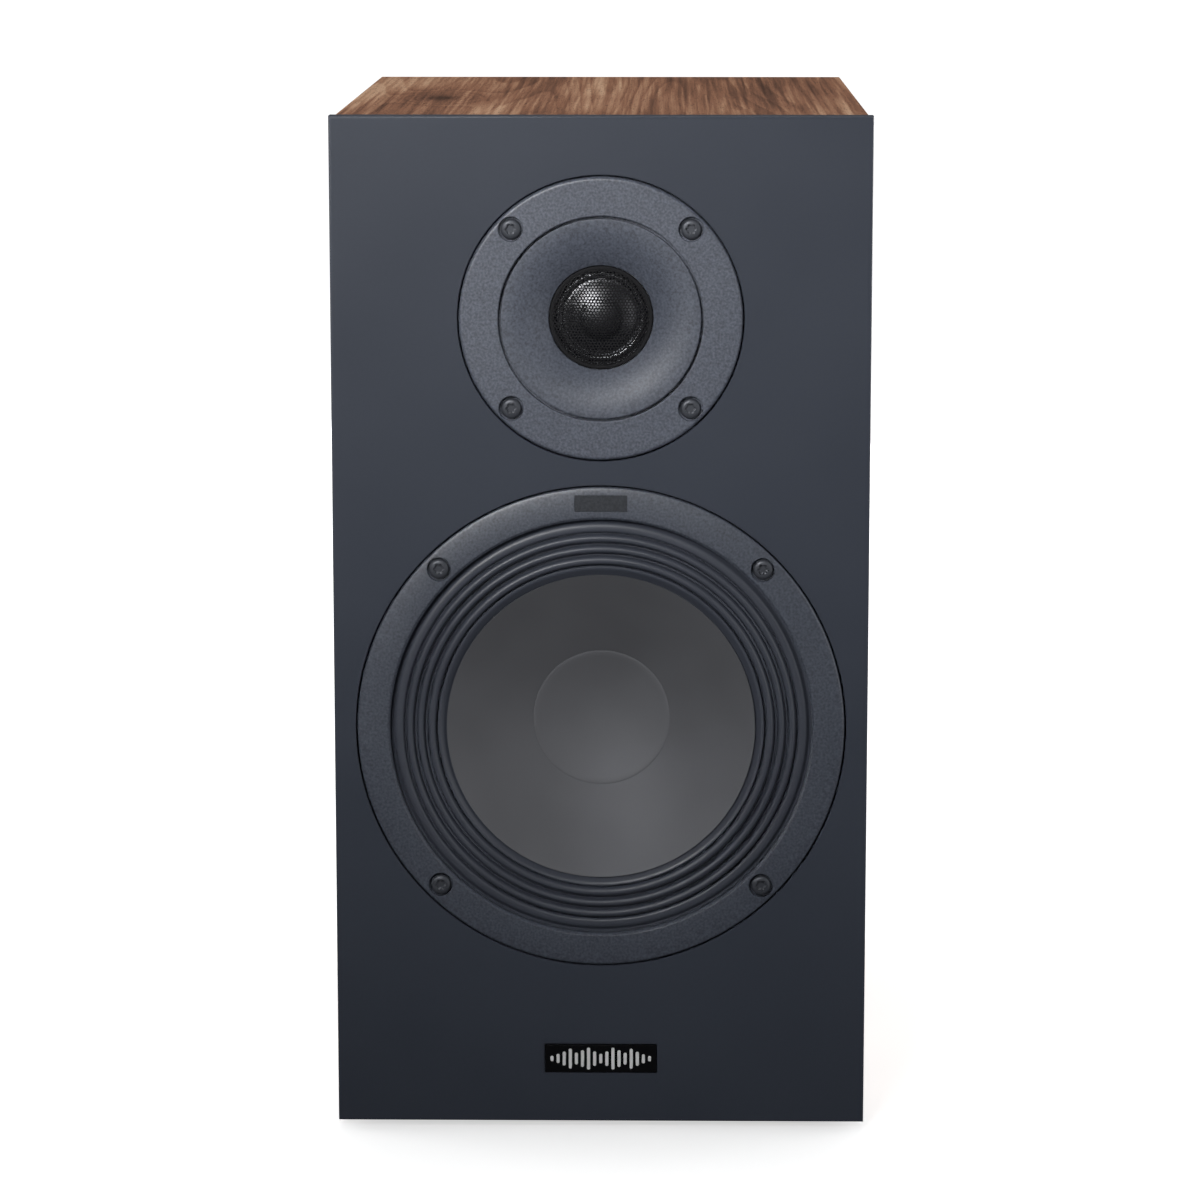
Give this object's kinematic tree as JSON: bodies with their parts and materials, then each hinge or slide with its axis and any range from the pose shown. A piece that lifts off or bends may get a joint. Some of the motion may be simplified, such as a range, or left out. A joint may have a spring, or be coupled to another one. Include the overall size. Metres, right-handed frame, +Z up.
{
  "type": "bookshelf speaker",
  "caption": "Bookshelf speaker: walnut cabinet, dark grey baffle, metal-cone woofer with ribbed surround, waveguide tweeter behind mesh, rear reflex port and terminal cup.",
  "frame": {"origin": "on the floor, under the middle of the cabinet", "axes": "+Z up, +X to the right as seen by a listener, -Y out of the baffle towards the listener"},
  "size_m": [0.19, 0.2808, 0.3655],
  "materials": {
    "walnut_veneer": "open-pored walnut veneer, matt lacquer",
    "baffle_lacquer": "dark grey satin lacquer on fibreboard",
    "raw_mdf": "raw fibreboard",
    "foot_rubber": "matt black rubber",
    "badge_black": "gloss black with silver print",
    "wadding": "white polyester wadding",
    "trim_satin": "fine grained satin grey",
    "surround_rubber": "satin black rubber",
    "cone_metal": "satin grey anodised",
    "copper_winding": "enamelled copper wire",
    "basket_black": "black powder coat",
    "spider_cloth": "resin dipped woven cloth",
    "zinc_steel": "zinc plated",
    "ferrite": "matt sintered ferrite",
    "screw_black": "black oxide",
    "mesh_metal": "black perforated metal",
    "dome_fabric": "thin satin metal dome",
    "black_plastic": "moulded, fine texture",
    "cap_black": "clear moulding over black",
    "cap_red": "clear moulding over red",
    "gilt_brass": "gilt",
    "circuit_board": "green solder mask",
    "film_red": "dipped film",
    "ceramic_white": "cement body"
  },
  "bodies": {
    "cabinet": {"top_panel": "walnut_veneer", "bottom_panel": "walnut_veneer", "left_side_panel": "walnut_veneer", "right_side_panel": "walnut_veneer", "rear_panel": "walnut_veneer", "front_baffle": "baffle_lacquer", "window_brace": "raw_mdf", "foot_front_left": "foot_rubber", "foot_front_right": "foot_rubber", "foot_rear_left": "foot_rubber", "foot_rear_right": "foot_rubber", "badge_plate": "badge_black", "damping_wadding": "wadding", "woofer_trim_ring": "trim_satin", "tweeter_face_plate": "trim_satin", "tweeter_waveguide": "trim_satin", "woofer_surround": "surround_rubber", "woofer_choke": "copper_winding", "tweeter_choke": "copper_winding", "woofer_basket": "basket_black", "woofer_spider": "spider_cloth", "woofer_top_plate": "zinc_steel", "woofer_back_plate_and_pole": "zinc_steel", "tweeter_top_plate": "zinc_steel", "tweeter_yoke": "zinc_steel", "woofer_magnet": "ferrite", "tweeter_magnet": "ferrite", "woofer_screw_upper_left": "screw_black", "woofer_screw_upper_right": "screw_black", "woofer_screw_lower_left": "screw_black", "woofer_screw_lower_right": "screw_black", "tweeter_screw_upper_left": "screw_black", "tweeter_screw_upper_right": "screw_black", "tweeter_screw_lower_left": "screw_black", "tweeter_screw_lower_right": "screw_black", "cup_screw_upper_left": "screw_black", "cup_screw_upper_right": "screw_black", "cup_screw_lower_left": "screw_black", "cup_screw_lower_right": "screw_black", "tweeter_mesh_grille": "mesh_metal", "port_tube": "black_plastic", "terminal_cup": "black_plastic", "woofer_capacitor": "black_plastic", "woofer_lead": "black_plastic", "tweeter_lead": "black_plastic", "negative_post_stem": "gilt_brass", "positive_post_stem": "gilt_brass", "crossover_board": "circuit_board", "tweeter_capacitor": "film_red", "series_resistor": "ceramic_white"},
    "woofer_diaphragm": {"woofer_cone": "cone_metal", "woofer_dust_cap": "cone_metal", "woofer_voice_coil": "copper_winding"},
    "tweeter_diaphragm": {"tweeter_dome": "dome_fabric", "tweeter_voice_coil": "copper_winding"},
    "negative_washer": {"negative_clamp_washer": "gilt_brass"},
    "negative_cap": {"negative_screw_cap": "cap_black"},
    "positive_washer": {"positive_clamp_washer": "gilt_brass"},
    "positive_cap": {"positive_screw_cap": "cap_red"}
  },
  "joints": [
    {"name": "woofer_travel", "type": "slide", "parent": "cabinet", "child": "woofer_diaphragm", "axis": [0, -1, 0], "range_m": [-0.005, 0.005], "stiffness_N_per_m": 1100, "deforming": ["woofer_surround", "woofer_spider"]},
    {"name": "tweeter_travel", "type": "slide", "parent": "cabinet", "child": "tweeter_diaphragm", "axis": [0, -1, 0], "range_m": [-0.0003, 0.0003], "stiffness_N_per_m": 1500},
    {"name": "negative_post_lift", "type": "slide", "parent": "cabinet", "child": "negative_washer", "axis": [0, 1, 0], "range_m": [0, 0.004]},
    {"name": "negative_post_turn", "type": "hinge", "parent": "negative_washer", "child": "negative_cap", "pos_m": [-0.019, 0.125, 0.095], "axis": [0, 1, 0], "range_deg": [0, 1440]},
    {"name": "positive_post_lift", "type": "slide", "parent": "cabinet", "child": "positive_washer", "axis": [0, 1, 0], "range_m": [0, 0.004]},
    {"name": "positive_post_turn", "type": "hinge", "parent": "positive_washer", "child": "positive_cap", "pos_m": [0.019, 0.125, 0.095], "axis": [0, 1, 0], "range_deg": [0, 1440]}
  ],
  "couplings": [
    {"joint": "negative_post_turn", "follows": "negative_post_lift", "rad_per_m": 6283.2},
    {"joint": "positive_post_turn", "follows": "positive_post_lift", "rad_per_m": 6283.2}
  ]
}
